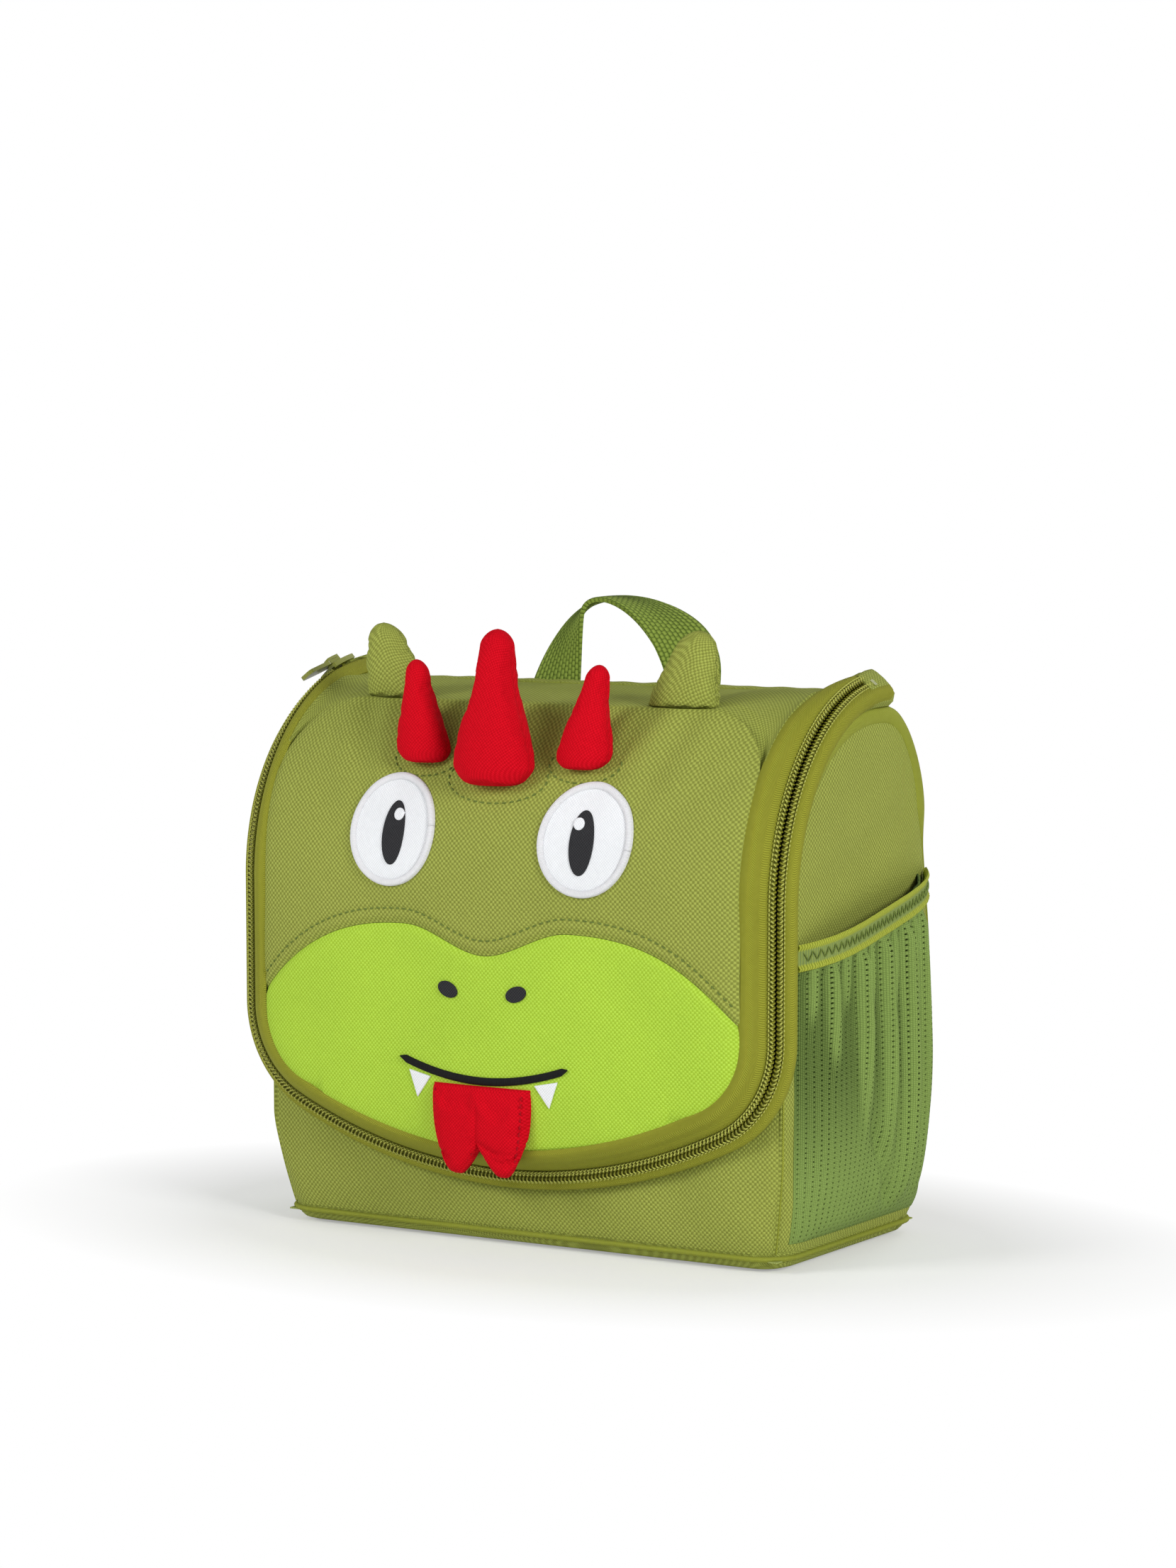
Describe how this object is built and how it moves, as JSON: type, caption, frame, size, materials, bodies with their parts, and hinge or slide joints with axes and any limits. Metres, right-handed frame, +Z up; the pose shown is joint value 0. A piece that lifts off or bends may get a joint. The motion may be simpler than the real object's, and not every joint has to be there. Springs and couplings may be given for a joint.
{
  "type": "children's wash bag",
  "caption": "Boxy soft wash bag with a padded dragon-face flap that zips round, stuffed ears and crest, mesh side pockets and a webbing carry loop.",
  "frame": {"origin": "centre of the underside of the base", "axes": "+X across the bag, left to right as seen from the front; -Y the way the face looks; +Z up"},
  "size_m": [0.2224, 0.1349, 0.2181],
  "materials": {
    "green_cloth": "plain woven polyester",
    "lime_cloth": "plain woven polyester",
    "red_cloth": "plain woven polyester, stuffed",
    "white_cloth": "felted patch",
    "black_cloth": "felted patch",
    "white_thread": "satin stitch",
    "black_thread": "satin stitch",
    "foam": "open-cell padding",
    "lining": "smooth coated lining",
    "board": "plain sheet",
    "binding": "ribbed tape",
    "zip_tape": "herringbone tape",
    "zip_coil": "moulded nylon coil",
    "slider": "enamelled",
    "mesh": "open knitted mesh",
    "elastic": "knitted elastic",
    "webbing": "ribbed webbing"
  },
  "bodies": {
    "bag_body": {"back_foam": "foam", "back_lining": "lining", "back_panel": "green_cloth", "base_board": "board", "base_lining": "lining", "base_panel": "green_cloth", "base_welt": "binding", "edge_binding_left": "binding", "edge_binding_right": "binding", "front_foam": "foam", "front_lining": "lining", "front_panel": "green_cloth", "hinge_seam": "binding", "mesh_pocket_left": "mesh", "mesh_pocket_right": "mesh", "pocket_band_left": "elastic", "pocket_band_right": "elastic", "side_foam_left": "foam", "side_foam_right": "foam", "side_lining_left": "lining", "side_lining_right": "lining", "side_panel_left": "green_cloth", "side_panel_right": "green_cloth", "zip_coil_body": "zip_coil", "zip_stop_left": "zip_coil", "zip_stop_right": "zip_coil", "zip_tape_body": "zip_tape"},
    "flap": {"crest_spike_left": "red_cloth", "crest_spike_middle": "red_cloth", "crest_spike_right": "red_cloth", "ear_left": "green_cloth", "ear_right": "green_cloth", "eye_glint_left": "white_cloth", "eye_glint_right": "white_cloth", "eye_rim_left": "white_thread", "eye_rim_right": "white_thread", "eye_white_left": "white_cloth", "eye_white_right": "white_cloth", "face_foam": "foam", "face_lining": "lining", "face_panel": "green_cloth", "flap_top_lining": "lining", "flap_top_panel": "green_cloth", "mouth_line": "black_thread", "muzzle_panel": "lime_cloth", "nostril_left": "black_cloth", "nostril_right": "black_cloth", "pupil_left": "black_cloth", "pupil_right": "black_cloth", "tooth_left": "white_cloth", "tooth_right": "white_cloth", "zip_coil_flap": "zip_coil", "zip_tape_flap": "zip_tape"},
    "tongue": {"tongue_tab": "red_cloth"},
    "carry_loop": {"carry_loop": "webbing"},
    "zip_slider": {"zip_slider": "slider"},
    "zip_pull": {"zip_pull": "slider"}
  },
  "joints": [
    {"name": "flap_hinge", "type": "hinge", "parent": "bag_body", "child": "flap", "pos_m": [0, 0.0122, 0.1882], "axis": [-1, 0, 0], "range_deg": [0, 90]},
    {"name": "tongue_lift", "type": "hinge", "parent": "flap", "child": "tongue", "pos_m": [0, -0.0748, 0.0584], "axis": [-1, 0, 0], "range_deg": [0, 70]},
    {"name": "loop_tilt", "type": "hinge", "parent": "bag_body", "child": "carry_loop", "pos_m": [0, 0.0159, 0.1861], "axis": [-1, 0, 0], "range_deg": [0, 60]},
    {"name": "slider_travel", "type": "hinge", "parent": "bag_body", "child": "zip_slider", "pos_m": [0, 0.01, 0.122], "axis": [1, 0, 0], "range_deg": [0, 60]},
    {"name": "pull_swing", "type": "hinge", "parent": "zip_slider", "child": "zip_pull", "pos_m": [-0.10631, -0.00714, 0.19374], "axis": [-0.8176, 0.1494, -0.556], "range_deg": [0, 150]}
  ]
}
